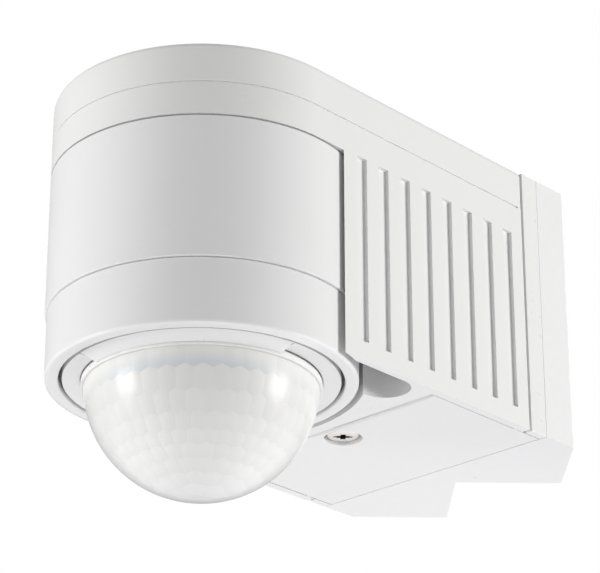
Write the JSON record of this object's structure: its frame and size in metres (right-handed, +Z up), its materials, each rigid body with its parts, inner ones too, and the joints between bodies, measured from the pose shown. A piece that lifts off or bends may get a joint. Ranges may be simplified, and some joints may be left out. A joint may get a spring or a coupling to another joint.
{
  "type": "motion sensor",
  "caption": "Corner-mounted passive infrared motion sensor: ribbed arm, swivelling drum head and a downward dome lens on a V-notch bracket.",
  "frame": {"origin": "on the edge of the bracket's V notch, where an outside wall corner sits, at half the housing's height", "axes": "+Y into the wall corner, +Z up, +X across the housing"},
  "size_m": [0.076, 0.1507, 0.1005],
  "materials": {
    "white_plastic": "fine-grained moulded white plastic",
    "bracket_plastic": "fine-grained moulded white plastic",
    "lens_plastic": "milky translucent lens plastic",
    "rubber": "black rubber",
    "plated_steel": "nickel-plated steel",
    "spring_steel": "oiled spring steel",
    "brass": "tinned brass",
    "circuit_board": "green solder mask",
    "black_plastic": "black moulded plastic",
    "grey_plastic": "grey moulded plastic",
    "detector_can": "plated can",
    "clear_plastic": "clear epoxy",
    "red_plastic": "red diffused epoxy",
    "orange_plastic": "dipped film capacitor case",
    "blue_plastic": "blue dipped or sleeved case"
  },
  "bodies": {
    "housing": {"housing_shell": "white_plastic", "top_cap": "white_plastic", "bottom_cover": "white_plastic", "base_plate": "white_plastic", "corner_bracket": "bracket_plastic", "bracket_screws": "plated_steel", "cover_screw": "plated_steel", "board_screws": "plated_steel", "terminal_screws": "plated_steel", "base_seal": "rubber", "cable_grommet": "rubber", "screw_washer": "rubber", "friction_washer": "rubber", "swivel_seal": "rubber", "hub_clip": "spring_steel", "power_board": "circuit_board", "surge_absorber": "blue_plastic", "storage_capacitors": "blue_plastic", "relay": "blue_plastic", "board_connector": "grey_plastic", "lead_clip": "grey_plastic", "signal_lead": "black_plastic", "fuse": "black_plastic", "electronics_tray": "grey_plastic", "terminal_block": "grey_plastic", "contact_blades": "brass", "mains_capacitor": "orange_plastic"},
    "head": {"drum_shell": "white_plastic", "lens_carrier": "white_plastic", "dome_lens": "lens_plastic", "lens_gasket": "rubber", "sensor_board": "circuit_board", "sensor_board_screws": "plated_steel", "sensor_holder": "black_plastic", "light_sensor": "clear_plastic", "status_led": "red_plastic", "trimmers": "blue_plastic", "head_connector": "grey_plastic", "head_lead": "black_plastic", "heat_sensor_1": "detector_can", "heat_sensor_2": "detector_can", "heat_sensor_3": "detector_can", "heat_sensor_4": "detector_can"},
    "trim_ring": {"trim_ring": "white_plastic"},
    "dial_cover": {"dial_cover": "white_plastic"},
    "time_dial": {"time_dial": "grey_plastic"},
    "daylight_dial": {"daylight_dial": "grey_plastic"},
    "range_dial": {"range_dial": "grey_plastic"}
  },
  "joints": [
    {"name": "head_swivel", "type": "hinge", "parent": "housing", "child": "head", "pos_m": [0, -0.0935, 0], "axis": [0, 0, 1], "range_deg": [-126.3, 53.7]},
    {"name": "trim_ring_turn", "type": "hinge", "parent": "head", "child": "trim_ring", "pos_m": [0, -0.0935, -0.028], "axis": [0, 0, 1], "range_deg": [0, 12]},
    {"name": "dial_cover_pull", "type": "slide", "parent": "head", "child": "dial_cover", "axis": [0, 0, -1], "range_m": [0, 0.012]},
    {"name": "time_dial_turn", "type": "hinge", "parent": "head", "child": "time_dial", "pos_m": [0.00449, -0.12428, -0.0305], "axis": [0, 0, -1], "range_deg": [-135, 135]},
    {"name": "daylight_dial_turn", "type": "hinge", "parent": "head", "child": "daylight_dial", "pos_m": [0.01842, -0.11857, -0.0305], "axis": [0, 0, -1], "range_deg": [-135, 135]},
    {"name": "range_dial_turn", "type": "hinge", "parent": "head", "child": "range_dial", "pos_m": [0.02803, -0.10699, -0.0305], "axis": [0, 0, -1], "range_deg": [-135, 135]}
  ]
}
